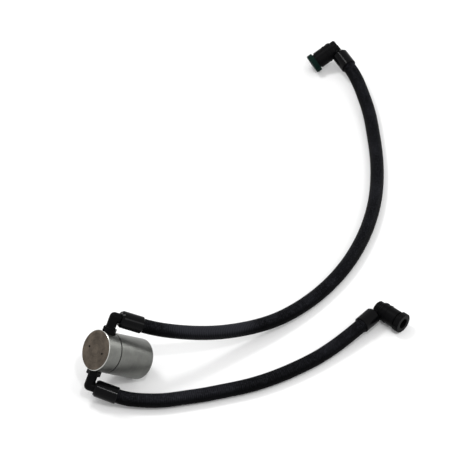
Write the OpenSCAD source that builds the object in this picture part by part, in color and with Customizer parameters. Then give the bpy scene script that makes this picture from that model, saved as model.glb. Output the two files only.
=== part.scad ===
// Oil catch can with its two hoses, lying on a bench as one joined set.
// The bowl screws onto the lid, both hoses leave the lid through elbows,
// and each hose ends in a right-angle quick connector with a release ring.
// Frame: bench at Z = 0, X to the right, Y away, all in millimetres.

/* [Can] */
// outside diameter of lid and bowl
can_d = 62; // [50:1:80]
// length from the bowl's base to the lid's face
can_h = 90; // [80:1:120]
// height of the lid's outer band
lid_h = 24; // [23:0.5:30]
// radius of the bowl's rounded base edge
base_round = 4; // [2:0.5:6]
// chamfer round the lid's face
lid_chamfer = 0.9; // [0.4:0.1:1.5]
// wall of the bowl below its thread
bowl_wall = 3; // [2:0.25:5]
// thickness of the bowl's base
bowl_floor = 5; // [3:0.5:8]
// length of the lid's threaded neck inside the bowl
neck_h = 10; // [8:0.5:14]
// height of the sealing gap that shows between lid and bowl
seal_gap = 1.5; // [1:0.1:2.2]
// circle of the two bracket screws in the lid's face
screw_circle = 32; // [24:0.5:36]
// tapping bore of the bracket screws
screw_bore = 3.3; // [2.5:0.1:4.2]

/* [Inside the can] */
// outside diameter of the drop tube
tube_d = 12; // [10:0.5:14]
// wall of the drop tube
tube_wall = 1.5; // [1:0.25:2.5]
// clearance between the tube's collar and the lid's neck
stack_gap = 4; // [1:0.5:8]
// clearance between both plates and the bowl's wall
plate_gap = 2; // [0.5:0.25:5]
// thickness of both plates
plate_t = 1.5; // [1:0.25:3]
// height of the filter pack between the plates
pack_h = 14; // [8:1:20]
// diameter of the drain holes in both plates
hole_d = 3.2; // [2:0.1:4]

/* [Elbows on the lid] */
// distance of the port axes below the lid's face
port_drop = 12; // [12:0.5:14]
// height of the elbow's corner over the can's side
elbow_rise = 24; // [20:0.5:30]
// hexagon across its flats
hex_af = 19; // [17:0.5:20]
// height of the hexagon
hex_h = 8; // [6:0.5:10]
// thread diameter of the port
port_d = 14; // [12:0.5:14]
// outside diameter of an elbow's pipe
pipe_d = 15; // [13:0.5:16]
// bore of every fitting
flow_d = 9; // [7:0.5:9.5]

/* [Hoses] */
// outside diameter of both hoses
hose_d = 21.6; // [19:0.2:24]
// bore of both hoses
hose_bore = 12.7; // [11:0.1:14]
// wall of the clamp sleeves over the hose
sleeve_wall = 2.1; // [1.2:0.1:3.5]
// distance from an elbow's corner to its sleeve's far end
sleeve_end = 45; // [38:1:52]

/* [Quick connectors] */
// diameter of the connector's barrel
barrel_d = 27.6; // [26:0.2:30]
// diameter of the release ring round the mouth
ring_d = 31.6; // [30:0.2:34]
// distance from the connector's corner to its mouth
barrel_h = 46; // [44:1:54]
// width of the release ring
ring_h = 9; // [8:0.5:11]
// free travel of the release ring
ring_travel = 2.5; // [1.5:0.1:3]
// diameter of the pipe that the connector takes
spout_d = 15.8; // [14:0.1:16]

/* [Hidden] */
$fn = 64;
can_r = can_d / 2;
lid_z = can_h - lid_h;
neck_step = 4;
neck_r = can_r - neck_step;
neck_wall = 3.5;
thread_gap = 0.3;
fit_gap = 0.1;
bowl_r = can_r - bowl_wall;
bowl_top = lid_z - 0.2;
ledge_z = lid_z - seal_gap;
cord_r = seal_gap / 2 - 0.05;
port_z = can_h - port_drop;
seat_depth = 2.3;
seat_r = can_r - seat_depth;
washer_h = 1.2;
hex_z = seat_r + washer_h;
corner_r = can_r + elbow_rise;
room_top = lid_z + 3;
socket_h = 3;
socket_top = room_top + socket_h;
tube_r = tube_d / 2;
collar_w = 2;
nut_h = 3;
collar_h = 2;
thread_below = 5;
pack_low = lid_z - neck_h - stack_gap - collar_h - plate_t - pack_h;
tube_low = pack_low - plate_t - nut_h - thread_below;
plate_r = bowl_r - plate_gap;
inner_holes_r = tube_r + 7;
outer_holes_r = plate_r - 5.2;
outlet_x = 15;
pipe_r = pipe_d / 2;
barb_gap = 0.23;
barb_r = hose_bore / 2 - barb_gap;
sleeve_r = hose_d / 2 + fit_gap + sleeve_wall;
hose_start = 10.4;
plug_start = 16;
plug_r = barrel_d / 2;
plug_back = 6.2;
cap_step = 1.8;
rib_h = 0.65;
ring_back = barrel_h - ring_h;
shoulder_z = ring_back - ring_travel - 0.4;
flange_h = 2.2;
spigot_end = barrel_h - flange_h - ring_travel - 0.4;
ring_wall = 3.3;
spigot_r = ring_d / 2 - ring_wall - thread_gap;
spigot_wall = 1.6;
gland_r = spigot_r - spigot_wall;
gland_z = 20;
seal_w = 3.2;
spacer_h = 2;
bush_z = gland_z + 2 * seal_w + spacer_h;
bush_h = 2.6;

// Resting pose of the can: its axis leans this far over the bench,
// points this way round, and carries the ports at this roll.
can_lean = 37;
can_turn = 206;
can_roll = 111;
long_swivel = 21;
short_swivel = 42;
can_x = 32.82;
can_y = 26.89;
can_z = (can_r - base_round) * cos(can_lean) + base_round - base_round * sin(can_lean);

// Resting pose of the connectors: corner of each on the bench plan.
long_plug_at = [341, 714];
long_plug_turn = 207;
long_plug_lean = 114.5;
long_plug_roll = 81.5;
short_plug_at = [397, 137];
short_plug_turn = -41.5;
short_plug_lean = 90;
short_plug_roll = -90;

// Route points of the hoses between their sleeves.
flat_z = hose_d / 2 + 0.2;
long_route = [
    [105, 48, 59], [172, 76, 33], [238, 114, 17], [296, 165, flat_z + 0.5],
    [343, 227, flat_z], [376, 297, flat_z], [396, 372, flat_z],
    [403, 449, flat_z], [400, 526, flat_z + 0.6], [390, 600, flat_z + 5]
];
short_route = [
    [55, -47, flat_z + 1.4], [110, -38, flat_z + 0.2], [150, -28.5, flat_z],
    [205, -12, flat_z], [258, 14, flat_z], [312, 51, flat_z + 0.6]
];
hose_sides = 12;
steps = 3;

// Turn of a piece whose axis was +Z: lean from the vertical, then turn.
function aim(p, turn, lean, roll) =
    let (
        x1 = p[0] * cos(roll) - p[1] * sin(roll),
        y1 = p[0] * sin(roll) + p[1] * cos(roll),
        x2 = x1 * cos(lean) + p[2] * sin(lean),
        z2 = p[2] * cos(lean) - x1 * sin(lean)
    )
    [x2 * cos(turn) - y1 * sin(turn), x2 * sin(turn) + y1 * cos(turn), z2];

function can_point(p) =
    aim(p, can_turn, 90 - can_lean, can_roll) + [can_x, can_y, can_z];

module place_can() {
    translate([can_x, can_y, can_z])
        rotate([0, 0, can_turn])
            rotate([0, 90 - can_lean, 0])
                rotate([0, 0, can_roll])
                    children();
}

// Port frame: Z runs out of the can's side, X is the elbow's exit.
module place_port(side, swivel) {
    place_can()
        translate([0, 0, port_z])
            rotate([-90 * side, 0, 0])
                rotate([0, 0, 90 * side - swivel * side])
                    children();
}

// Exit point of an elbow in bench coordinates, a given way along its exit.
function port_point(side, swivel, along) =
    can_point([
        along * sin(swivel),
        side * corner_r,
        port_z - along * cos(swivel)
    ]);

long_plug_z = ring_d / 2 * sin(long_plug_lean) - barrel_h * cos(long_plug_lean);
short_plug_z = ring_d / 2;

module place_long_plug() {
    translate([long_plug_at[0], long_plug_at[1], long_plug_z])
        rotate([0, 0, long_plug_turn])
            rotate([0, long_plug_lean, 0])
                rotate([0, 0, long_plug_roll])
                    children();
}

module place_short_plug() {
    translate([short_plug_at[0], short_plug_at[1], short_plug_z])
        rotate([0, 0, short_plug_turn])
            rotate([0, short_plug_lean, 0])
                rotate([0, 0, short_plug_roll])
                    children();
}

function long_plug_point(along) =
    aim([along, 0, 0], long_plug_turn, long_plug_lean, long_plug_roll)
    + [long_plug_at[0], long_plug_at[1], long_plug_z];

function short_plug_point(along) =
    aim([along, 0, 0], short_plug_turn, short_plug_lean, short_plug_roll)
    + [short_plug_at[0], short_plug_at[1], short_plug_z];

// Lid: one turned billet with two cross ports, a neck and a hollow under it.
module lid() {
    color("silver") place_can() difference() {
        rotate_extrude($fn = 96) polygon([
            [0, lid_z - neck_h],
            [neck_r - 0.8, lid_z - neck_h],
            [neck_r, lid_z - neck_h + 0.8],
            [neck_r, lid_z],
            [can_r - 0.3, lid_z],
            [can_r, lid_z + 0.3],
            [can_r, can_h - lid_chamfer],
            [can_r - lid_chamfer, can_h],
            [0, can_h]
        ]);
        translate([0, 0, lid_z - neck_h - 1])
            cylinder(r = neck_r - neck_wall, h = room_top - lid_z + neck_h + 1);
        translate([0, 0, room_top - 1])
            cylinder(r = tube_r + fit_gap / 2, h = socket_h + 1);
        translate([0, 0, socket_top - 1])
            cylinder(d = flow_d, h = port_z - socket_top + 1);
        translate([0, -outlet_x, room_top - 1])
            cylinder(d = flow_d - 1, h = port_z - room_top + 1);
        translate([0, 0, port_z])
            rotate([-90, 0, 0])
                cylinder(d = flow_d, h = can_r);
        translate([0, -outlet_x + 3, port_z])
            rotate([90, 0, 0])
                cylinder(d = flow_d, h = can_r);
        for (side = [-1, 1]) {
            translate([0, 0, port_z])
                rotate([-90 * side, 0, 0])
                    translate([0, 0, seat_r - 10])
                        cylinder(d = port_d + 2 * fit_gap, h = can_r);
            translate([0, 0, port_z])
                rotate([-90 * side, 0, 0])
                    translate([0, 0, seat_r])
                        cylinder(d = hex_af / cos(30) + 1, h = can_r);
            translate([side * screw_circle / 2, 0, can_h - 6])
                cylinder(d = screw_bore, h = 7, $fn = 32);
        }
    }
}

// Bowl: a turned cup with a rounded base and a ledge for the sealing ring.
module bowl() {
    color("silver") place_can() difference() {
        rotate_extrude($fn = 96) union() {
            translate([0, base_round])
                square([can_r, ledge_z - base_round]);
            square([can_r - base_round, base_round + 1]);
            translate([can_r - base_round, base_round])
                intersection() {
                    circle(r = base_round, $fn = 64);
                    translate([-1, -base_round - 1])
                        square([base_round + 2, base_round + 2]);
                }
            translate([0, ledge_z - 1])
                square([neck_r + 1.3, bowl_top - ledge_z + 1]);
        }
        rotate_extrude($fn = 96) polygon([
            [0, bowl_floor],
            [bowl_r - 3, bowl_floor],
            [bowl_r, bowl_floor + 3],
            [bowl_r, lid_z - neck_h - 3],
            [neck_r + thread_gap, lid_z - neck_h - 2],
            [neck_r + thread_gap, can_h],
            [0, can_h]
        ]);
    }
}

// Sealing ring on the bowl's ledge, the dark line between lid and bowl.
module bowl_ring() {
    color("black") place_can()
        rotate_extrude($fn = 96)
            translate([neck_r + 1.6 + cord_r, ledge_z + seal_gap / 2])
                circle(r = cord_r, $fn = 32);
}

// Drop tube: takes the inlet's flow down through the filter pack.
module drop_tube() {
    color("silver") place_can() difference() {
        union() {
            translate([0, 0, tube_low])
                cylinder(r = tube_r, h = socket_top - tube_low);
            translate([0, 0, pack_low + pack_h + plate_t])
                cylinder(r = tube_r + collar_w, h = collar_h);
        }
        translate([0, 0, tube_low - 1])
            cylinder(r = tube_r - tube_wall, h = socket_top - tube_low + 2);
        for (a = [0, 90])
            translate([0, 0, tube_low])
                rotate([0, 0, a])
                    translate([-tube_d, -1.5, -1])
                        cube([2 * tube_d, 3, 4]);
    }
}

// A plate with two rings of holes and a bore that fits the tube.
module plate(z) {
    place_can() translate([0, 0, z]) difference() {
        cylinder(r = plate_r, h = plate_t, $fn = 96);
        translate([0, 0, -1])
            cylinder(r = tube_r + fit_gap / 2, h = plate_t + 2);
        for (a = [0 : 45 : 315])
            rotate([0, 0, a])
                translate([inner_holes_r, 0, -1])
                    cylinder(d = hole_d, h = plate_t + 2, $fn = 24);
        for (a = [0 : 24 : 336])
            rotate([0, 0, a])
                translate([outer_holes_r, 0, -1])
                    cylinder(d = hole_d, h = plate_t + 2, $fn = 24);
    }
}

module baffle() {
    color("lightgray") plate(pack_low + pack_h);
}

module pack_plate() {
    color("lightgray") plate(pack_low - plate_t);
}

// Filter pack: a thick washer of knitted wire between the plates.
module filter_pack() {
    color("gray") place_can() translate([0, 0, pack_low]) difference() {
        cylinder(r = plate_r - 0.5, h = pack_h, $fn = 96);
        translate([0, 0, -1])
            cylinder(r = tube_r + fit_gap, h = pack_h + 2);
    }
}

// Nut on the tube that clamps plates and pack against the tube's collar.
module tube_nut() {
    color("silver") place_can()
        translate([0, 0, pack_low - plate_t - nut_h]) difference() {
            cylinder(d = (tube_d + 5) / cos(30), h = nut_h, $fn = 6);
            translate([0, 0, -1])
                cylinder(r = tube_r + fit_gap / 2, h = nut_h + 2);
        }
}

// Barbed stem along X, from a given start.
module barb(start) {
    rotate([0, 90, 0]) rotate_extrude() polygon([
        [0, start - 1],
        [barb_r - 0.4, start - 1],
        [barb_r - 0.4, start + 6],
        [barb_r, start + 6],
        [barb_r - 0.6, start + 12],
        [barb_r, start + 12],
        [barb_r - 0.6, start + 18],
        [barb_r, start + 18],
        [barb_r - 1, start + 26],
        [0, start + 26]
    ]);
}

// Elbow: thread, hexagon, pipe, rounded corner and barbed exit.
module elbow(side, swivel) {
    place_port(side, swivel) difference() {
        union() {
            translate([0, 0, seat_r - 9])
                cylinder(d = port_d, h = 9 + washer_h + 1);
            translate([0, 0, hex_z])
                cylinder(d = hex_af / cos(30), h = hex_h, $fn = 6);
            translate([0, 0, hex_z + hex_h - 1])
                cylinder(d1 = hex_af - 1, d2 = pipe_d, h = 2.5);
            translate([0, 0, hex_z])
                cylinder(d = pipe_d, h = corner_r - hex_z);
            translate([0, 0, corner_r])
                sphere(d = pipe_d);
            translate([0, 0, corner_r])
                rotate([0, 90, 0])
                    cylinder(d = pipe_d, h = hose_start);
            translate([0, 0, corner_r])
                barb(hose_start);
        }
        translate([0, 0, seat_r - 10])
            cylinder(d = flow_d, h = corner_r - seat_r + 10);
        translate([0, 0, corner_r])
            rotate([0, 90, 0])
                cylinder(d = flow_d, h = sleeve_end);
        translate([0, 0, corner_r])
            sphere(d = flow_d);
    }
}

module long_elbow() {
    color("#202022") elbow(1, long_swivel);
}

module short_elbow() {
    color("#202022") elbow(-1, short_swivel);
}

// Sealing washer under each hexagon.
module washer(side) {
    place_port(side, 0)
        translate([0, 0, seat_r]) difference() {
            cylinder(d = hex_af - 0.5, h = washer_h);
            translate([0, 0, -1])
                cylinder(d = port_d + 2 * fit_gap, h = washer_h + 2);
        }
}

module long_washer() {
    color("#151515") washer(1);
}

module short_washer() {
    color("#151515") washer(-1);
}

// Clamp sleeve along X over a hose's end: lip, chamfered start, round end.
module sleeve(start, mouth) {
    rotate([0, 90, 0]) rotate_extrude() polygon([
        [pipe_r + fit_gap, start - 1.4],
        [sleeve_r - 2.2, start - 1.4],
        [sleeve_r, start + 1.8],
        [sleeve_r, mouth - 1],
        [sleeve_r - 1, mouth],
        [hose_d / 2 + fit_gap, mouth],
        [hose_d / 2 + fit_gap, start],
        [pipe_r + fit_gap, start]
    ]);
}

module long_sleeve() {
    color("#101012") place_port(1, long_swivel)
        translate([0, 0, corner_r])
            sleeve(hose_start, sleeve_end);
}

module short_sleeve() {
    color("#101012") place_port(-1, short_swivel)
        translate([0, 0, corner_r])
            sleeve(hose_start, sleeve_end);
}

// Smooth curve through points, with given end tangents.
function slope(p, i, t0, t1) =
    i == 0 ? t0 * norm(p[1] - p[0])
    : i == len(p) - 1 ? t1 * norm(p[i] - p[i - 1])
    : (p[i + 1] - p[i - 1]) / 2;

function between(a, b, ta, tb, u) =
    a * (2 * u ^ 3 - 3 * u ^ 2 + 1) + ta * (u ^ 3 - 2 * u ^ 2 + u)
    + b * (3 * u ^ 2 - 2 * u ^ 3) + tb * (u ^ 3 - u ^ 2);

function unit(v) = v / norm(v);

function curve(p, t0, t1) = [
    for (i = [0 : len(p) - 2])
        for (k = [0 : steps - 1])
            between(p[i], p[i + 1], slope(p, i, t0, t1), slope(p, i + 1, t0, t1), k / steps),
    p[len(p) - 1]
];

// Whole centre line: straight in the first sleeve, curved, straight again.
function line(first, inside, last) =
    let (
        p = concat([first[1]], inside, [last[0]]),
        t0 = unit(first[1] - first[0]),
        t1 = unit(last[1] - last[0])
    )
    concat([first[0]], curve(p, t0, t1), [last[1]]);

function heading(c, i) =
    i == 0 ? unit(c[1] - c[0])
    : i == len(c) - 1 ? unit(c[i] - c[i - 1])
    : unit(unit(c[i + 1] - c[i]) + unit(c[i] - c[i - 1]));

function ring_points(c, i, r) =
    let (
        t = heading(c, i),
        s = unit(cross(t, [0, 0, 1])),
        v = cross(s, t)
    )
    [for (k = [0 : hose_sides - 1])
        c[i] + r * cos(360 * k / hose_sides) * s + r * sin(360 * k / hose_sides) * v];

// Hose: outer and inner skin along one centre line, closed at both ends.
module hose(c) {
    n = len(c);
    m = hose_sides;
    skin = n * m;
    points = concat(
        [for (i = [0 : n - 1]) each ring_points(c, i, hose_d / 2)],
        [for (i = [0 : n - 1]) each ring_points(c, i, hose_bore / 2)]
    );
    outer = [
        for (i = [0 : n - 2]) for (k = [0 : m - 1])
            [i * m + k, (i + 1) * m + k, (i + 1) * m + (k + 1) % m, i * m + (k + 1) % m]
    ];
    inner = [
        for (i = [0 : n - 2]) for (k = [0 : m - 1])
            [skin + i * m + k, skin + i * m + (k + 1) % m,
             skin + (i + 1) * m + (k + 1) % m, skin + (i + 1) * m + k]
    ];
    start = [
        for (k = [0 : m - 1])
            [k, (k + 1) % m, skin + (k + 1) % m, skin + k]
    ];
    finish = [
        for (k = [0 : m - 1])
            [(n - 1) * m + k, skin + (n - 1) * m + k,
             skin + (n - 1) * m + (k + 1) % m, (n - 1) * m + (k + 1) % m]
    ];
    polyhedron(points = points, faces = concat(outer, inner, start, finish));
}

long_line = line(
    [port_point(1, long_swivel, hose_start), port_point(1, long_swivel, sleeve_end)],
    long_route,
    [long_plug_point(sleeve_end), long_plug_point(plug_start)]
);
short_line = line(
    [port_point(-1, short_swivel, hose_start), port_point(-1, short_swivel, sleeve_end)],
    short_route,
    [short_plug_point(sleeve_end), short_plug_point(plug_start)]
);

module long_hose() {
    color("#1c1c20") hose(long_line);
}

module short_hose() {
    color("#1c1c20") hose(short_line);
}

module long_end_sleeve() {
    color("#101012") place_long_plug() sleeve(plug_start, sleeve_end);
}

module short_end_sleeve() {
    color("#101012") place_short_plug() sleeve(plug_start, sleeve_end);
}

// Connector body: barrel with a narrower closed back, two ribs, a spigot
// that carries the release ring, a stepped gland and a barbed leg along X.
module plug_body() {
    color("#202022") difference() {
        union() {
            rotate_extrude() polygon([
                [0, -plug_back],
                [plug_r - cap_step - 1.6, -plug_back],
                [plug_r - cap_step, -plug_back + 1.6],
                [plug_r - cap_step, 2.2],
                [plug_r, 4],
                [plug_r, 6],
                [plug_r + rib_h, 6.5],
                [plug_r + rib_h, 8.5],
                [plug_r, 9],
                [plug_r, 14.5],
                [plug_r + rib_h, 14.8],
                [plug_r + rib_h, 16.5],
                [plug_r, 16.8],
                [plug_r, shoulder_z],
                [spigot_r, shoulder_z],
                [spigot_r, spigot_end],
                [0, spigot_end]
            ]);
            rotate([0, 90, 0])
                cylinder(d = pipe_d, h = plug_start);
            barb(plug_start);
        }
        translate([0, 0, -4])
            cylinder(d = flow_d, h = barrel_h);
        translate([0, 0, 8])
            cylinder(d = spout_d + 2 * fit_gap, h = barrel_h);
        translate([0, 0, gland_z])
            cylinder(r = gland_r, h = barrel_h);
        rotate([0, 90, 0])
            cylinder(d = flow_d, h = sleeve_end);
    }
}

// Release ring: a shell over the spigot with a thumb tab on the leg's side,
// and a slotted collet that reaches in to the pipe's bead.
module plug_release(shade) {
    collet_r = spout_d / 2 + 0.2;
    color(shade) difference() {
        union() {
            rotate_extrude() polygon([
                [collet_r, barrel_h - 0.6],
                [collet_r + 0.6, barrel_h],
                [ring_d / 2 - 0.8, barrel_h],
                [ring_d / 2, barrel_h - 0.8],
                [ring_d / 2, ring_back + 0.5],
                [ring_d / 2 - 0.5, ring_back],
                [spigot_r + thread_gap, ring_back],
                [spigot_r + thread_gap, barrel_h - flange_h],
                [gland_r - 0.5, barrel_h - flange_h],
                [gland_r - 0.5, barrel_h - 9.5],
                [collet_r, barrel_h - 9.5]
            ]);
            intersection() {
                translate([ring_d / 2 - 2, -4, ring_back])
                    cube([3.2, 8, ring_h - 1.5]);
                translate([0, 0, ring_back])
                    cylinder(d = ring_d + 2.4, h = ring_h);
            }
        }
        for (a = [45, 135])
            rotate([0, 0, a])
                translate([-gland_r, -0.8, barrel_h - 10])
                    cube([2 * gland_r, 1.6, 10 - flange_h]);
    }
}

// Two sealing rings with square shoulders rounded, lying in the gland.
module plug_seals() {
    color("#6b3a22") for (z = [gland_z, gland_z + seal_w + spacer_h])
        translate([0, 0, z])
            rotate_extrude() polygon([
                [spout_d / 2 + fit_gap, 0.8],
                [spout_d / 2 + 0.85, 0],
                [gland_r - 0.6, 0],
                [gland_r, 0.6],
                [gland_r, seal_w - 0.6],
                [gland_r - 0.6, seal_w],
                [spout_d / 2 + 0.85, seal_w],
                [spout_d / 2 + fit_gap, seal_w - 0.8]
            ]);
}

module plug_spacer() {
    color("#333333") translate([0, 0, gland_z + seal_w]) difference() {
        cylinder(r = gland_r, h = spacer_h);
        translate([0, 0, -1])
            cylinder(d = spout_d + 2 * fit_gap, h = spacer_h + 2);
    }
}

module plug_bush() {
    color("#333333") translate([0, 0, bush_z]) difference() {
        cylinder(r = gland_r, h = bush_h);
        translate([0, 0, -1])
            cylinder(d = spout_d + 2 * fit_gap, h = bush_h + 2);
    }
}

module long_plug() {
    place_long_plug() plug_body();
}

module long_release() {
    place_long_plug() plug_release("#1d3a2c");
}

module long_seals() {
    place_long_plug() plug_seals();
}

module long_spacer() {
    place_long_plug() plug_spacer();
}

module long_bush() {
    place_long_plug() plug_bush();
}

module short_plug() {
    place_short_plug() plug_body();
}

module short_release() {
    place_short_plug() plug_release("#1c1c1e");
}

module short_seals() {
    place_short_plug() plug_seals();
}

module short_spacer() {
    place_short_plug() plug_spacer();
}

module short_bush() {
    place_short_plug() plug_bush();
}

lid();
bowl();
bowl_ring();
drop_tube();
baffle();
filter_pack();
pack_plate();
tube_nut();
long_elbow();
long_washer();
long_sleeve();
long_hose();
long_end_sleeve();
long_plug();
long_release();
long_seals();
long_spacer();
long_bush();
short_elbow();
short_washer();
short_sleeve();
short_hose();
short_end_sleeve();
short_plug();
short_release();
short_seals();
short_spacer();
short_bush();
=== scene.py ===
# %% [markdown]
# # An oil catch can with its two hoses
# The object is a small turned aluminium can. Its bowl screws onto a lid, two
# black elbows stand in the lid's side, and a rubber hose runs from each elbow
# to a right-angle quick connector. The solid parts come from the CAD model as
# a fixed frame. Blender's work is the hoses, the small turned and moulded
# detail, the finishes, and the light.
#
# The frame is loaded first, because everything else is placed by it.

# %% Load the frame
import math
import bmesh
import bpy
from mathutils import Matrix, Vector
from mathutils.kdtree import KDTree


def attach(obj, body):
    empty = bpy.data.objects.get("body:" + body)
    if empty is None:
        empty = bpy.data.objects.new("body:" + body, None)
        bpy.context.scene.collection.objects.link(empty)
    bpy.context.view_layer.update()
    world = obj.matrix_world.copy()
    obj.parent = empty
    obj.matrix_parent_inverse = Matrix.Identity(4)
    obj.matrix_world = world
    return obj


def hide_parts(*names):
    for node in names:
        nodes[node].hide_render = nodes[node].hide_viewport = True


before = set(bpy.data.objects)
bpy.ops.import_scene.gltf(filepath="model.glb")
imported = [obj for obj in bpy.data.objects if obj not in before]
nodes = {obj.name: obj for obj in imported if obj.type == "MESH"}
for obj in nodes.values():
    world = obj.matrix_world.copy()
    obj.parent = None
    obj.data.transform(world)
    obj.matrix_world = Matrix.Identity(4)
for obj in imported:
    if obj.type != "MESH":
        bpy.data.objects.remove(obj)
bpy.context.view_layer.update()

# %% [markdown]
# ## The camera
# The photograph looks down at 45 degrees, and its lines hardly converge, so a
# long lens far away gives the same drawing. A short lens close by could fit
# the middle of the picture, but it would swell the near hose and shrink the
# far connector, so the distance is set first and the lens follows from it.

# %% Camera
VIEW_MIDDLE = Vector((0.160, 0.3349, 0.0))
VIEW_DISTANCE = 5.04
VIEW_TILT = math.radians(45)

camera_data = bpy.data.cameras.new("camera")
camera_data.sensor_width = 36
camera_data.lens = 256
camera = bpy.data.objects.new("camera", camera_data)
bpy.context.scene.collection.objects.link(camera)
camera.location = VIEW_MIDDLE + VIEW_DISTANCE * Vector(
    (0, -math.cos(VIEW_TILT), math.sin(VIEW_TILT)))
camera.rotation_euler = (math.radians(90) - VIEW_TILT, 0, 0)
bpy.context.scene.camera = camera
print("camera at", [round(v, 3) for v in camera.location])

# %% [markdown]
# ## The line of each hose
# A hose is a fixed length of something springy, so its line is settled before
# its skin. Each line starts at an elbow, runs straight inside its clamp
# sleeve, sinks to the bench, lies there in one wide bend, and climbs a little
# into its connector. The points are those of the CAD route, in metres. A
# smooth curve goes through them, with its ends in line with the sleeves,
# because a hose leaves its clamp straight.

# %% Route points
FLAT = 0.011
LONG_START = [(0.005182, 0.031468, 0.106328), (0.035846, 0.033545, 0.090438)]
LONG_END = [(0.363663, 0.675597, 0.027401), (0.349058, 0.700346, 0.031301)]
LONG_ROUTE = [(0.105, 0.048, 0.059), (0.172, 0.076, 0.033),
              (0.238, 0.114, 0.017), (0.296, 0.165, FLAT + 0.0005),
              (0.343, 0.227, FLAT), (0.376, 0.297, FLAT),
              (0.396, 0.372, FLAT), (0.403, 0.449, FLAT),
              (0.400, 0.526, FLAT + 0.0006), (0.390, 0.600, FLAT + 0.005)]
SHORT_START = [(-0.032558, -0.034155, 0.02643),
               (-0.000138, -0.042391, 0.017582)]
SHORT_END = [(0.367182, 0.103297, 0.0158), (0.386398, 0.125017, 0.0158)]
SHORT_ROUTE = [(0.055, -0.047, FLAT + 0.0014), (0.110, -0.038, FLAT + 0.0002),
               (0.150, -0.0285, FLAT), (0.205, -0.012, FLAT),
               (0.258, 0.014, FLAT), (0.312, 0.051, FLAT + 0.0006)]


# %% A smooth line through the points
def smooth_line(start, route, end, steps):
    """Hermite curve between the sleeves, with a straight piece in each.

    There is one number of steps for each stretch between two points.
    """
    points = [Vector(p) for p in [start[1]] + route + [end[0]]]
    first = (points[0] - Vector(start[0])).normalized()
    last = (Vector(end[1]) - points[-1]).normalized()
    slopes = [first * (points[1] - points[0]).length]
    slopes += [(points[i + 1] - points[i - 1]) / 2
               for i in range(1, len(points) - 1)]
    slopes.append(last * (points[-1] - points[-2]).length)
    line = [Vector(start[0])]
    for i in range(len(points) - 1):
        for k in range(steps[i]):
            u = k / steps[i]
            line.append(points[i] * (2 * u**3 - 3 * u**2 + 1)
                        + slopes[i] * (u**3 - 2 * u**2 + u)
                        + points[i + 1] * (3 * u**2 - 2 * u**3)
                        + slopes[i + 1] * (u**3 - u**2))
    return line + [points[-1], Vector(end[1])]


def line_length(line):
    return sum((b - a).length for a, b in zip(line, line[1:]))


long_steps = [12] * (len(LONG_ROUTE) + 1)
short_steps = [10] * (len(SHORT_ROUTE) + 1)
long_line = smooth_line(LONG_START, LONG_ROUTE, LONG_END, long_steps)
short_line = smooth_line(SHORT_START, SHORT_ROUTE, SHORT_END, short_steps)
print("long hose", round(line_length(long_line), 4), "m, short hose",
      round(line_length(short_line), 4), "m")

# %% [markdown]
# ## The hoses
# Each hose is a thick rubber tube. It could be a curve object with a round
# bevel, but a mesh gives the skin its own map, with the length of the hose
# along one side and the way round along the other, and the fine rings that
# the wrapping leaves on the rubber follow that map round every bend. So one
# ring of vertices is made, and it is extruded from station to station. An
# inner skin is made the same way, and the two are bridged at both ends.
#
# A hand's width from the can the rings are deep enough to see. There the long
# hose gets four stations in each ring, and every station swells or shrinks a
# little, so the rings are real. Elsewhere that would only be more faces.

# %% Sweep a ring along a line
HOSE_RADIUS = 0.0108
HOSE_BORE = 0.00635
AROUND = 32
RIB_PITCH = 0.0030
RIB_DEPTH = 0.00012
RIB_MIDDLE = 0.15
RIB_FULL, RIB_NONE = 0.03, 0.09
RIB_STATIONS = 4
FINE_STEPS = 96
MERGE = 1e-6


def rib_weight(way):
    """1 where the rings are deep, fading to 0 on both sides."""
    off = (abs(way - RIB_MIDDLE) - RIB_FULL) / (RIB_NONE - RIB_FULL)
    off = min(max(off, 0.0), 1.0)
    return 1 - off * off * (3 - 2 * off)


def ringed(line, gap):
    """The line with a station at each gap where the rings are deep."""
    new, gone = [line[0]], 0.0
    for a, b in zip(line, line[1:]):
        hop = (b - a).length
        for k in range(math.ceil(gone / gap), math.ceil((gone + hop) / gap)):
            if rib_weight(k * gap) > 0:
                new.append(a.lerp(b, (k * gap - gone) / hop))
        gone += hop
        if rib_weight(gone) == 0:
            new.append(b)
    return new


def stops_of(line):
    """How far along the line each station lies."""
    stops = [0.0]
    for a, b in zip(line, line[1:]):
        stops.append(stops[-1] + (b - a).length)
    return stops


def ring_place(line, i):
    """Matrix that sets a flat ring square to the line at one station."""
    ahead = line[min(i + 1, len(line) - 1)] - line[i]
    behind = line[i] - line[max(i - 1, 0)]
    heading = ahead.normalized() + behind.normalized()
    heading.normalize()
    side = heading.cross(Vector((0, 0, 1))).normalized()
    top = side.cross(heading)
    turn = Matrix((side, top, heading)).transposed().to_4x4()
    return Matrix.Translation(line[i]) @ turn


def sweep(bm, line, radius, swell=None):
    """Extrudes a ring along the line and returns its two end loops."""
    swell = swell or [1.0] * len(line)
    made = bmesh.ops.create_circle(bm, segments=AROUND, radius=radius,
                                   matrix=ring_place(line, 0))
    loop = list({e for v in made["verts"] for e in v.link_edges})
    first = loop
    for i in range(1, len(line)):
        out = bmesh.ops.extrude_edge_only(bm, edges=loop)["geom"]
        verts = [g for g in out if isinstance(g, bmesh.types.BMVert)]
        more = swell[i] / swell[i - 1]
        move = (ring_place(line, i) @ Matrix.Diagonal((more, more, 1.0, 1.0))
                @ ring_place(line, i - 1).inverted())
        bmesh.ops.transform(bm, matrix=move, verts=verts)
        rim = set(verts)
        loop = [g for g in out if isinstance(g, bmesh.types.BMEdge)
                and g.verts[0] in rim and g.verts[1] in rim]
    return first, loop


def make_object(bm, name):
    """Turns the edited mesh into an object of the scene."""
    mesh = bpy.data.meshes.new(name)
    bm.to_mesh(mesh)
    bm.free()
    made = bpy.data.objects.new(name, mesh)
    bpy.context.scene.collection.objects.link(made)
    return made


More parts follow.
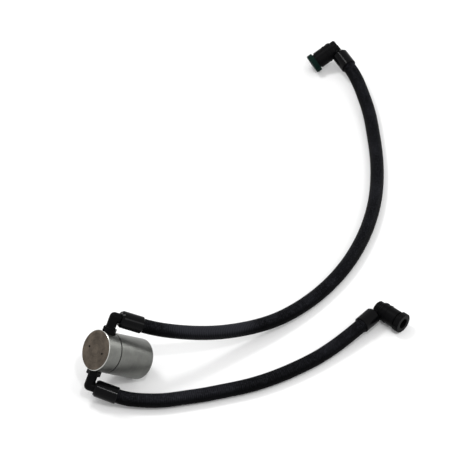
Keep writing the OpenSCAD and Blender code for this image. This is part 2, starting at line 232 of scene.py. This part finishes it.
def finish_mesh(bm, name, body):
    """Turns the mesh's faces outwards, makes the object, rides it."""
    bmesh.ops.remove_doubles(bm, verts=bm.verts, dist=MERGE)
    bmesh.ops.recalc_face_normals(bm, faces=bm.faces)
    for face in bm.faces:
        face.smooth = True
    piece = make_object(bm, name)
    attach(piece, body)
    print(name, len(piece.data.polygons), "faces")
    return piece


# %% Map the skin by length and turn
HOSE_MAP = "hose_map"


def map_hose(mesh, line):
    """U is the way along the hose in metres, V the way round in metres."""
    stops = stops_of(line)
    stations = KDTree(len(line))
    for i, point in enumerate(line):
        stations.insert(point, i)
    stations.balance()
    near = {}
    for vert in mesh.vertices:
        i = stations.find(vert.co)[1]
        flat = ring_place(line, i).inverted() @ vert.co
        near[vert.index] = (stops[i], math.atan2(flat.y, flat.x))
    layer = mesh.uv_layers.new(name=HOSE_MAP)
    for face in mesh.polygons:
        turns = [near[v][1] for v in face.vertices]
        wraps = max(turns) - min(turns) > math.pi
        for corner, vert in zip(face.loop_indices, face.vertices):
            way, turn = near[vert]
            if wraps and turn < 0:
                turn += 2 * math.pi
            layer.data[corner].uv = (way, turn * HOSE_RADIUS)


# %% Make both hoses
def make_hose(name, line, skin_line, swell=None):
    """A tube with its bore on one line and its skin on a finer one."""
    bm = bmesh.new()
    outer_first, outer_last = sweep(bm, skin_line, HOSE_RADIUS, swell)
    inner_first, inner_last = sweep(bm, line, HOSE_BORE)
    bmesh.ops.bridge_loops(bm, edges=outer_first + inner_first)
    bmesh.ops.bridge_loops(bm, edges=outer_last + inner_last)
    piece = finish_mesh(bm, name, "can")
    map_hose(piece.data, skin_line)
    return piece


fine_line = smooth_line(LONG_START, LONG_ROUTE, LONG_END,
                        [FINE_STEPS] * 3 + long_steps[3:])
ring_line = ringed(fine_line, RIB_PITCH / RIB_STATIONS)
ring_swell = [1 + RIB_DEPTH / HOSE_RADIUS * rib_weight(way)
              * math.sin(2 * math.pi * way / RIB_PITCH)
              for way in stops_of(ring_line)]
long_hose = make_hose("long_hose_skin", long_line, ring_line, ring_swell)
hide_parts("long_hose")
short_hose = make_hose("short_hose_skin", short_line, short_line)
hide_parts("short_hose")

# %% [markdown]
# For both hoses the length of the line is worked out and the parts on the far
# end are looked up among the CAD nodes, but nothing keeps either.

ON_HOSE = ["end_sleeve", "plug", "release", "seals", "spacer", "bush"]
for hose, line, word in [(long_hose, long_line, "long"),
                         (short_hose, short_line, "short")]:
    line_length(line)
    [nodes[word + "_" + w] for w in ON_HOSE]

# %% [markdown]
# ## Writing materials as sums
# A procedural finish is a small sum: so much grain, less where it is worn. In
# the node editor each sign is a Math node. Here one small class wraps a
# socket, so that a plus or a minus in Python adds the node. Colours go
# through Mix nodes instead, because a Math node would turn them grey.

# %% A class for shader maths
class Value:
    """One output socket of a node tree, with Python's own operators."""

    def __init__(self, writer, socket):
        self.writer = writer
        self.socket = socket

    def math(self, operation, *others):
        return self.writer.add("ShaderNodeMath", {"operation": operation},
                               self, *others)

    def __add__(self, other):
        return self.math("ADD", other)

    def __radd__(self, other):
        return self.math("ADD", other)

    def __sub__(self, other):
        return self.math("SUBTRACT", other)

    def __rsub__(self, other):
        return self.writer.add("ShaderNodeMath", {"operation": "SUBTRACT"},
                               other, self)

    def __mul__(self, other):
        return self.math("MULTIPLY", other)

    def __rmul__(self, other):
        return self.math("MULTIPLY", other)

    def sine(self):
        return self.math("SINE")

    def step(self, low, high):
        """0 below low, 1 above high, and a soft ramp between them."""
        return self.writer.add("ShaderNodeMapRange",
                               {"interpolation_type": "SMOOTHSTEP"},
                               self, low, high, 0.0, 1.0)


# %% One method for all other nodes
class Writer:
    """Adds nodes to a tree. Each one comes from the method add."""

    def __init__(self, tree):
        self.tree = tree

    def add(self, kind, settings, *inputs, output=0, **named):
        """Settings come first, then sockets by their order or name."""
        node = self.tree.nodes.new(kind)
        for key, setting in settings.items():
            setattr(node, key, setting)
        for socket, given in zip(node.inputs, inputs):
            self.feed(socket, given)
        for key, given in named.items():
            self.feed(node.inputs[key], given)
        return Value(self, node.outputs[output])

    def feed(self, socket, given):
        """Links a value, sets a number, and leaves the socket at None."""
        if isinstance(given, Value):
            self.tree.links.new(given.socket, socket)
        elif given is not None:
            socket.default_value = given


# %% A material under construction
class Paint(Writer):
    """A material: one Principled BSDF and the nodes that feed it."""

    def __init__(self, name, colour, roughness, metallic=0.0, gleam=0.5):
        self.material = bpy.data.materials.new(name)
        self.material.use_nodes = True
        super().__init__(self.material.node_tree)
        self.shader = self.tree.nodes["Principled BSDF"]
        self.set("Base Color", (*colour, 1.0))
        self.set("Roughness", roughness)
        self.set("Metallic", metallic)
        self.set("Specular IOR Level", gleam)

    def set(self, name, given):
        self.feed(self.shader.inputs[name], given)

    def place(self):
        return self.add("ShaderNodeTexCoord", {}, output="Object")

    def part(self, where, axis):
        """One of a vector's three numbers."""
        return self.add("ShaderNodeSeparateXYZ", {}, where, output=axis)

    def noise(self, where, scale, detail=2.0, rough=0.5):
        return self.add("ShaderNodeTexNoise", {}, where, Scale=scale,
                        Detail=detail, Roughness=rough)

    def mix(self, amount, low, high):
        """A colour between two colours, which are sockets 6 and 7."""
        ends = [end if isinstance(end, Value) else (*end, 1.0)
                for end in (low, high)]
        return self.add("ShaderNodeMix", {"data_type": "RGBA"},
                        amount, *[None] * 5, *ends, output=2)

    def vector(self, operation, *inputs, output=0):
        return self.add("ShaderNodeVectorMath", {"operation": operation},
                        *inputs, output=output)

    def bump(self, height, distance):
        self.set("Normal", self.add("ShaderNodeBump", {}, Strength=1.0,
                                    Distance=distance, Height=height))


def wear(material, *names):
    """Gives a finish to CAD nodes or to new pieces."""
    for name in names:
        piece = nodes[name] if isinstance(name, str) else name
        piece.data.materials.clear()
        piece.data.materials.append(material)
    print(material.name, "on", len(names), "pieces")


# %% [markdown]
# ## Rubber of the hoses
# The hose is cured under a wrapping, which leaves fine rings and the grain of
# a weave on it. The rings show best on the long hose, a hand's width from the
# can, where its top catches the light; there the rings and a broad stripe over
# them are painted lighter, as a painted highlight. A ring pattern on Object
# coordinates would run straight through a bent hose, so it reads the skin's
# own map. The rubber is nearly black. Its bluish grey bloom lies in patches
# and in the weave, and the same colour is painted more strongly on the crown,
# which is the upper side of the hose, as a painted highlight.

# %% Hose rubber
RUBBER = (0.0003, 0.0003, 0.0004)
# The second colour is the bluish grey bloom, and also the colour of the
# painted highlight on the hose's top.
BLOOM_AND_HIGHLIGHT = (0.0190, 0.0195, 0.0240)
RINGS_ALL_OVER = 0.12


def hose_rubber(name, rings):
    """Rubber whose rings are as deep as given where they show best, with a
    painted highlight stripe over them as strong as given.
    """
    paint = Paint(name, RUBBER, 0.42, gleam=0.02)
    skin = paint.add("ShaderNodeUVMap", {"uv_map": HOSE_MAP})
    way = paint.part(skin, 0)
    turn = paint.part(skin, 1) * (1 / HOSE_RADIUS)
    # Painted highlight: the upper side of the hose is painted lighter, as
    # where the light falls on it.
    painted_highlight_top = (turn.sine() * 0.5 + 0.5).step(0.62, 1.0)
    patches = paint.noise(paint.place(), 28.0, 3.0)
    weave = paint.noise(paint.place(), 420.0)
    ribs = (way * (2 * math.pi / RIB_PITCH)).sine() * 0.5 + 0.5
    off = (way - RIB_MIDDLE).math("ABSOLUTE").step(RIB_FULL, RIB_NONE)
    shown = (1 - off) * rings
    weight = shown + RINGS_ALL_OVER
    dust = patches.step(0.42, 0.68) * 0.2 + weave.step(0.46, 0.66) * 0.4
    # Painted highlight near the can: the rings are painted lighter, and a
    # broad lighter stripe is painted over them.
    rings_and_painted_sheen = ribs * weight * 2.0 + shown * 0.7
    # The real bloom of the patches and weave and the painted highlight share
    # one colour, and both are painted mostly on the lit top.
    bloom_and_highlight = (dust + rings_and_painted_sheen) * (painted_highlight_top * 0.85 + 0.15)
    paint.set("Base Color", paint.mix(bloom_and_highlight, RUBBER, BLOOM_AND_HIGHLIGHT))
    paint.set("Roughness", 0.36 + patches * 0.14 + weave * 0.06)
    paint.bump(ribs * weight + weave * 0.25, 0.00035)
    return paint.material


# The number sets the ring depth near the can and the strength of the painted
# highlight stripe there.
wear(hose_rubber("long hose rubber", 0.9), long_hose)
wear(hose_rubber("short hose rubber", 0.15), short_hose)

# %% [markdown]
# ## The thread of the bowl
# Lid and bowl are screwed together, with a pitch of 2.5 mm. The CAD neck and
# the bowl's mouth are plain, with a gap of 0.3 mm between them, and the
# thread is cut here. A thread is one small profile that turns about the axis
# and rises by the pitch in each turn, which is what a spin with a rise per
# step makes. A stack of rings would look much the same, but wouldn't screw.
# The bowl's ridge runs half a pitch beside the lid's, so the two mesh and
# stay clear of each other while the bowl is unscrewed.

# %% Spin a thread
CAN_BASE = Vector((0.03282, 0.02689, 0.023156))
CAN_AXIS = Vector((-0.717809, -0.350099, 0.601815))
CAN_SIDE = Vector((0.603099, -0.744552, 0.286205))
PITCH = 0.0025
STEPS_A_TURN = 64
THREAD_DEPTH = 0.00024
THREAD_HALF = 0.0005


def make_thread(name, body, radius, low, turns):
    """A ridge whose middle lies at the radius, from a height upwards."""
    bm = bmesh.new()
    middle = CAN_BASE + CAN_AXIS * low + CAN_SIDE * radius
    across = CAN_AXIS.cross(CAN_SIDE)
    frame_turn = Matrix((CAN_SIDE, CAN_AXIS, across)).transposed().to_4x4()
    stretch = Matrix.Diagonal((THREAD_DEPTH, THREAD_HALF, 1.0, 1.0))
    bmesh.ops.create_circle(
        bm, cap_ends=True, segments=4, radius=1.0,
        matrix=Matrix.Translation(middle) @ frame_turn @ stretch)
    steps = round(STEPS_A_TURN * turns)
    bmesh.ops.spin(bm, geom=bm.verts[:] + bm.edges[:] + bm.faces[:],
                   cent=CAN_BASE, axis=CAN_AXIS, dvec=CAN_AXIS * PITCH * turns
                   / steps, angle=2 * math.pi * turns, steps=steps)
    rim = [edge for edge in bm.edges if len(edge.link_faces) == 1]
    if rim:
        bmesh.ops.holes_fill(bm, edges=rim, sides=4)
    piece = finish_mesh(bm, name, body)
    for face in piece.data.polygons:
        face.use_smooth = False
    return piece


lid_thread = make_thread("lid_thread", "can", 0.0270, 0.0580, 2.6)
bowl_thread = make_thread("bowl_thread", "bowl", 0.0273, 0.05675, 3.0)

# %% [markdown]
# ## Turned aluminium
# Lid and bowl come off a lathe and are clear anodised, which leaves a satin
# grey with very fine tool marks round the axis. The can lies at a slant, so
# its axis is measured from the CAD pose: every point's height along it and
# distance from it come from dot products, and all marks are drawn by those
# two numbers. A Wave texture would do for an upright can only. The chamfer
# round the face is cut after the anodising, so it is bare, bright metal.

# %% Measure a point from an axis
CAN_LENGTH = 0.090
CAN_RADIUS = 0.031
CHAMFER = 0.0009


def beyond(paint, base):
    """The way from the base to a point."""
    return paint.vector("SUBTRACT", paint.place(), tuple(base))


def along(paint, base, direction):
    """How far a point lies beyond the base in a direction."""
    return paint.vector("DOT_PRODUCT", beyond(paint, base),
                        tuple(direction), output=1)


def on_axis(paint):
    """Height along the can's axis and distance from it."""
    shift = beyond(paint, CAN_BASE)
    height = along(paint, CAN_BASE, CAN_AXIS)
    square = paint.vector("DOT_PRODUCT", shift, shift, output=1)
    away = (square - height * height).math("MAXIMUM", 0.0).math("SQRT")
    return height, away


# %% Turned aluminium
BARREL = (0.168, 0.171, 0.160)
FACE = (0.085, 0.069, 0.054)
CUT = (0.44, 0.44, 0.42)


def above(value, edge, half):
    """0 below the edge and 1 above it, in a ramp of twice the half."""
    return value.step(edge - half, edge + half)


def shade(colour, factor):
    return [part * factor for part in colour]


def turned_aluminium(name, barrel, face):
    """Anodised metal with tool marks, and a bare edge round the face."""
    paint = Paint(name, barrel, 0.34, 1.0)
    height, away = on_axis(paint)
    flat = above(height, CAN_LENGTH - 0.00035, 0.00025)
    cut = (above(height, CAN_LENGTH - CHAMFER, 0.00005)
           * above(away, CAN_RADIUS - CHAMFER, 0.00005))
    lathe = paint.add("ShaderNodeCombineXYZ", {}, height, away, 0.0)
    lines = paint.noise(lathe, 5200.0)
    broad = paint.noise(lathe, 420.0)
    clouds = paint.noise(paint.place(), 60.0, 5.0, 0.6)
    tone = ((clouds - 0.5) * 1.9 + (broad - 0.5) * 0.5 + 0.5).step(0.0, 1.0)
    side = paint.mix(tone, shade(barrel, 0.86), shade(barrel, 1.12))
    top = paint.mix(tone, shade(face, 0.62), shade(face, 1.45))
    paint.set("Base Color", paint.mix(cut, paint.mix(flat, side, top), CUT))
    paint.set("Roughness", 0.32 + lines * 0.10 + clouds * 0.08 - cut * 0.10)
    paint.bump(lines * 0.6 + broad * 0.4, 0.00006)
    return paint.material


lid_metal = turned_aluminium("turned aluminium", BARREL, FACE)
bowl_metal = turned_aluminium("turned bowl aluminium", BARREL, BARREL)
wear(lid_metal, "lid", lid_thread)
wear(bowl_metal, "bowl", bowl_thread)

# %% [markdown]
# ## Black mouldings
# Elbows and connectors are glass-filled nylon: black, a little grey where the
# mould was etched, and duller than the sleeves. The clamp sleeves are smooth
# shrink tube and mirror a lamp as one sharp line. Both would look alike as a
# plain black, so they differ in roughness, grain and in how the light breaks.
#
# Every L-shaped moulding comes out of a two-part mould, which closes in the
# plane of its two arms and leaves a hair-fine seam there. Each release ring
# has shallow flutes for the fingers. Both are drawn in the bump, by the
# point's distance from that plane and by its turn about the ring's axis.

# %% Seams and flutes
FLUTES = 44
MILLIMETRE = 0.001


def seam_line(paint, corner, arm, other_arm):
    """1 in the plane of the two arms and 0 beside it."""
    square = Vector(arm).cross(Vector(other_arm)).normalized()
    off = along(paint, corner, square).math("ABSOLUTE")
    return 1 - off.step(0.00006, 0.00028)


def flutes(paint, corner, arm, mouth):
    """Waves round the ring's axis, on its rim and not on its face."""
    side = Vector(arm).normalized()
    top = Vector(mouth).normalized().cross(side)
    one, other = along(paint, corner, side), along(paint, corner, top)
    away = (one * one + other * other).math("SQRT")
    waves = (other.math("ARCTAN2", one) * FLUTES).sine().step(-0.6, 0.8)
    return waves * away.step(0.0151, 0.0155)


# %% Nylon, rubber and sleeve finishes
def moulded(name, low, high, rough, depth, gleam=0.03, shape=None):
    """A moulding between two colours. Depths are in metres.

    A shape is its height, the function that draws it, and where it is.
    """
    paint = Paint(name, low, rough, gleam=gleam)
    speck = paint.noise(paint.place(), 1500.0, 3.0, 0.6)
    drift = paint.noise(paint.place(), 60.0, 3.0)
    paint.set("Base Color", paint.mix(drift * 0.6 + speck * 0.4, low, high))
    paint.set("Roughness", rough - 0.08 + drift * 0.1 + speck * 0.08)
    grain = (speck * 0.7 + drift * 0.3) * depth
    if shape:
        height, drawn, *where = shape
        grain = grain + drawn(paint, *where) * height
    paint.bump(grain * 1000.0, MILLIMETRE)
    return paint.material


# %% Give the mouldings their finishes
UP_PORT = CAN_AXIS.cross(CAN_SIDE)
LONG_CORNER = (0.341, 0.714, 0.033453)
LONG_LEG = (0.5037, -0.8534, -0.1345)
LONG_MOUTH = (-0.81078, -0.41311, -0.41469)
SHORT_CORNER = (0.397, 0.137, 0.0158)
SHORT_LEG = (-0.66262, -0.74896, 0.0)
SHORT_MOUTH = (0.74896, -0.66262, 0.0)
BLACK = ((0.0012, 0.0012, 0.0014), (0.0045, 0.0045, 0.0048))
for node_name, corner, arm, other_arm in [
        ("long_elbow", LONG_START[0], UP_PORT,
         Vector(LONG_START[1]) - Vector(LONG_START[0])),
        ("short_elbow", SHORT_START[0], UP_PORT,
         Vector(SHORT_START[1]) - Vector(SHORT_START[0])),
        ("long_plug", LONG_CORNER, LONG_LEG, LONG_MOUTH),
        ("short_plug", SHORT_CORNER, SHORT_LEG, SHORT_MOUTH)]:
    wear(moulded(node_name + " nylon", *BLACK, 0.38, 0.00012,
                 shape=(0.00016, seam_line, corner, arm, other_arm)),
         node_name)
inner_nylon = moulded("inner nylon", (0.004, 0.004, 0.005),
                      (0.012, 0.012, 0.013), 0.5, 0.0001)
green_nylon = moulded("green nylon", (0.0008, 0.006, 0.0046),
                      (0.003, 0.015, 0.0112), 0.36, 0.0001, shape=(
                          0.0003, flutes, LONG_CORNER, LONG_LEG, LONG_MOUTH))
ring_nylon = moulded("ring nylon", *BLACK, 0.36, 0.0001, shape=(
    0.0003, flutes, SHORT_CORNER, SHORT_LEG, SHORT_MOUTH))
sleeve_black = moulded("sleeve black", (0.0010, 0.0010, 0.0012),
                       (0.0030, 0.0030, 0.0034), 0.12, 0.00004, 0.07)
seal_black = moulded("seal rubber", (0.002, 0.002, 0.002),
                     (0.006, 0.006, 0.006), 0.6, 0.0001)
seal_brown = moulded("gland rubber", (0.16, 0.055, 0.025),
                     (0.26, 0.095, 0.045), 0.55, 0.0001)

wear(ring_nylon, "short_release")
wear(inner_nylon, "long_spacer", "short_spacer", "long_bush", "short_bush")
wear(green_nylon, "long_release")
wear(sleeve_black, "long_sleeve", "short_sleeve", "long_end_sleeve",
     "short_end_sleeve")
wear(seal_black, "bowl_ring", "long_washer", "short_washer")
wear(seal_brown, "long_seals", "short_seals")

# %% [markdown]
# ## Steel inside the can
# The drop tube, the two drilled plates and the nut are bright stainless
# steel, and the pack between the plates is knitted wire. They show only when
# the bowl is off, but they are finished like the rest. The knit could be
# thousands of loops; at this size two crossing sets of fine waves in the bump
# and in the colour read the same. The colour is painted dark in the dips
# between the loops, as painted shade, and the wire's own grey on their tops.

# %% Steel
steel = Paint("stainless steel", (0.55, 0.55, 0.54), 0.28, 1.0)
steel_marks = steel.noise(steel.place(), 700.0, 3.0)
steel_cloud = steel.noise(steel.place(), 50.0, 2.0)
steel.set("Base Color", steel.mix(steel_cloud, (0.48, 0.48, 0.47),
                                  (0.62, 0.62, 0.61)))
steel.set("Roughness", 0.2 + steel_marks * 0.16)
steel.bump(steel_marks, 0.00004)

# %% Knitted wire
knit = Paint("knitted wire", (0.30, 0.30, 0.30), 0.4, 1.0)
knit_height = along(knit, CAN_BASE, CAN_AXIS)
knit_wave = (knit.part(knit.place(), 0) * 5200.0).sine()
knit_cross = (knit_height * 4200.0 + knit_wave * 1.2).sine()
knit_loops = (knit_cross + knit_wave) * 0.25 + 0.5
# Painted shade: the colour follows the loop height, dark in the dips and the
# wire's grey on the tops.
knit.set("Base Color", knit.mix(knit_loops, (0.10, 0.10, 0.10),
                                (0.52, 0.52, 0.51)))
knit.set("Roughness", 0.3 + knit_loops * 0.2)
knit.bump(knit_loops, 0.0004)

wear(steel.material, "drop_tube", "baffle", "pack_plate", "tube_nut")
wear(knit.material, "filter_pack")

# %% [markdown]
# ## The floor and the light
# The object lies on a plain white sheet in soft light from above. The floor
# is pale and shows as white to the camera, but keeps the object's shadow. The
# white sky is full for the camera and in reflections, and a little dimmer as
# a light, so that the shadow stays. Three large soft lamps give the satin
# metal its slow change from light to dark, and a small one draws the line
# along the glossy sleeves.

# %% Floor
FLOOR_MIDDLE = (0.16, 0.33, 0.0)
FLOOR_RADIUS = 1.9
FLOOR_WHITE = (0.93, 0.93, 0.93)

floor_bm = bmesh.new()
bmesh.ops.create_circle(floor_bm, cap_ends=True, segments=96,
                        radius=FLOOR_RADIUS,
                        matrix=Matrix.Translation(FLOOR_MIDDLE))
floor = make_object(floor_bm, "floor")
wear(Paint("floor", FLOOR_WHITE, 0.9, gleam=0.0).material, floor)
print("floor", len(floor.data.vertices), "corners")

# %% World
SKY_SEEN = 1.0
SKY_LIGHT = 0.80

world = bpy.data.worlds.new("studio")
bpy.context.scene.world = world
world.use_nodes = True
sky = Writer(world.node_tree)
background = sky.tree.nodes["Background"]
camera_ray = sky.add("ShaderNodeLightPath", {}, output="Is Camera Ray")
clear_ray = sky.add("ShaderNodeLightPath", {}, output="Is Transmission Ray")
mirror_ray = sky.add("ShaderNodeLightPath", {}, output="Is Glossy Ray")
seen = camera_ray.math("MAXIMUM", clear_ray).math("MAXIMUM", mirror_ray)
sky.feed(background.inputs["Color"], (1, 1, 1, 1))
sky.feed(background.inputs["Strength"],
         sky.add("ShaderNodeMapRange", {}, seen, 0.0, 1.0,
                 SKY_LIGHT, SKY_SEEN))
print("sky", len(sky.tree.nodes), "nodes")


# %% Lamps
def lamp(name, place, aim, size, power):
    """A round lamp of a size in metres, aimed at a point."""
    data = bpy.data.lights.new(name, "AREA")
    data.shape = "DISK"
    data.size = size
    data.energy = power
    made = bpy.data.objects.new(name, data)
    bpy.context.scene.collection.objects.link(made)
    made.location = place
    made.rotation_euler = (Vector(aim) - Vector(place)).to_track_quat(
        "-Z", "Y").to_euler()
    print(name, "of", power, "watts")


MIDDLE = (0.15, 0.3, 0.0)
lamp("key lamp", (-0.6, 0.9, 1.9), MIDDLE, 0.5, 14)
lamp("fill lamp", (1.4, -0.8, 1.6), MIDDLE, 0.9, 8)
lamp("barrel lamp", (1.95, 0.97, 0.62), (0.0, 0.0, 0.05), 0.8, 7)
lamp("sleeve lamp", (0.42, -0.72, 2.05), (0.0, -0.04, 0.02), 0.16, 7.0)

# %% [markdown]
# ## The view transform
# The colours are shown as they are written.

# %% Colour transform
bpy.context.scene.view_settings.view_transform = "Standard"
